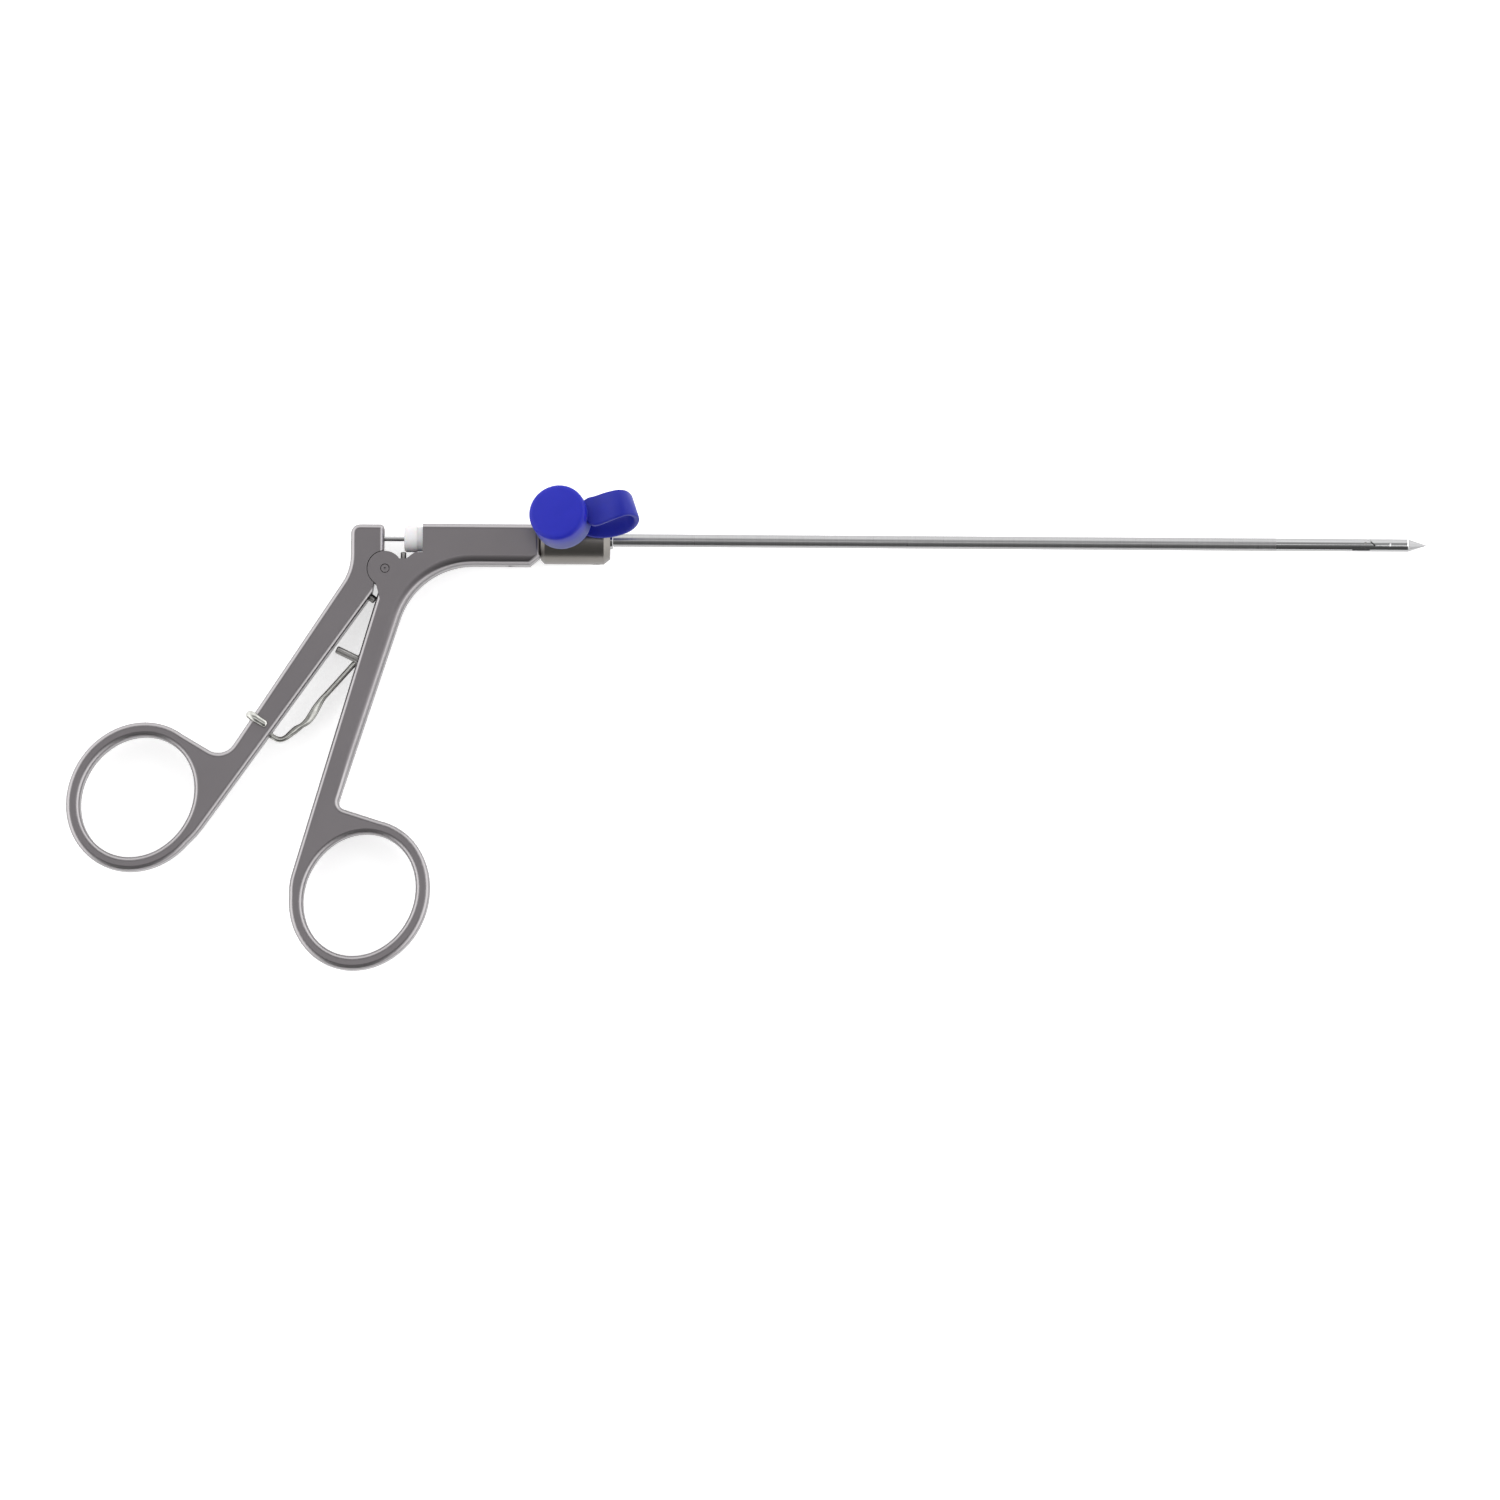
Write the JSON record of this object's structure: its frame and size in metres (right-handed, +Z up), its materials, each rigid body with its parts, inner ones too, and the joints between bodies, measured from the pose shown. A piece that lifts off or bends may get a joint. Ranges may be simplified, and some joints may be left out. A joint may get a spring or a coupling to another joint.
{
  "type": "fascial closure instrument",
  "caption": "Ring-handled surgical instrument with a long thin tube, a sharp cone with a small jaw that carries a suture, and a capped flushing port on a strap.",
  "frame": {"origin": "on the tube's axis, where the tube leaves its collar", "axes": "+X along the tube to the point, +Y away from the finger rings, +Z up from the surface that the instrument lies on"},
  "size_m": [0.2837, 0.1004, 0.0248],
  "materials": {
    "satin_steel": "satin, bead blasted",
    "matt_tube": "matt",
    "polished_steel": "polished",
    "pin_steel": "turned",
    "spring_steel": "bright wire",
    "white_polymer": "waxy white",
    "blue_silicone": "soft satin",
    "black_rubber": "matt"
  },
  "bodies": {
    "fixed_handle": {"front_handle": "satin_steel", "pivot_pin": "pin_steel", "stop_post": "pin_steel", "notch_peg": "pin_steel", "closing_spring": "spring_steel", "sealing_nut": "white_polymer", "rod_seal": "white_polymer", "handle_screw": "pin_steel", "connector_housing": "satin_steel", "housing_seal": "black_rubber", "tube_screw": "pin_steel", "tube_collar": "polished_steel", "outer_tube": "matt_tube", "tip_body": "polished_steel", "jaw_pin": "pin_steel", "luer_port": "polished_steel", "strap_ring": "blue_silicone", "cap_strap": "blue_silicone"},
    "moving_handle": {"rear_handle": "satin_steel", "limit_screw": "pin_steel"},
    "rod": {"pull_rod": "polished_steel", "rod_ball": "polished_steel", "rod_end": "polished_steel"},
    "jaw": {"jaw": "polished_steel", "link_pin": "pin_steel"},
    "cap": {"sealing_cap": "blue_silicone"}
  },
  "joints": [
    {"name": "handle_hinge", "type": "hinge", "parent": "fixed_handle", "child": "moving_handle", "pos_m": [-0.04765, -0.00645, 0], "axis": [0, 0, -1], "range_deg": [0, 7.05], "stiffness_Nm_per_rad": 0.5, "springref_deg": -11.46, "deforming": ["closing_spring"]},
    {"name": "rod_slide", "type": "slide", "parent": "fixed_handle", "child": "rod", "axis": [1, 0, 0], "range_m": [0, 0.0008]},
    {"name": "jaw_hinge", "type": "hinge", "parent": "fixed_handle", "child": "jaw", "pos_m": [0.15715, 0.0003, 0], "axis": [0, 0, 1], "range_deg": [0, 55.5]},
    {"name": "cap_pull", "type": "slide", "parent": "fixed_handle", "child": "cap", "axis": [-0.1914, 0.2297, 0.9542], "range_m": [0, 0.012], "deforming": ["cap_strap"]}
  ],
  "couplings": [
    {"joint": "rod_slide", "follows": "handle_hinge", "m_per_rad": 0.00635},
    {"joint": "jaw_hinge", "follows": "handle_hinge", "ratio": 7.8}
  ]
}
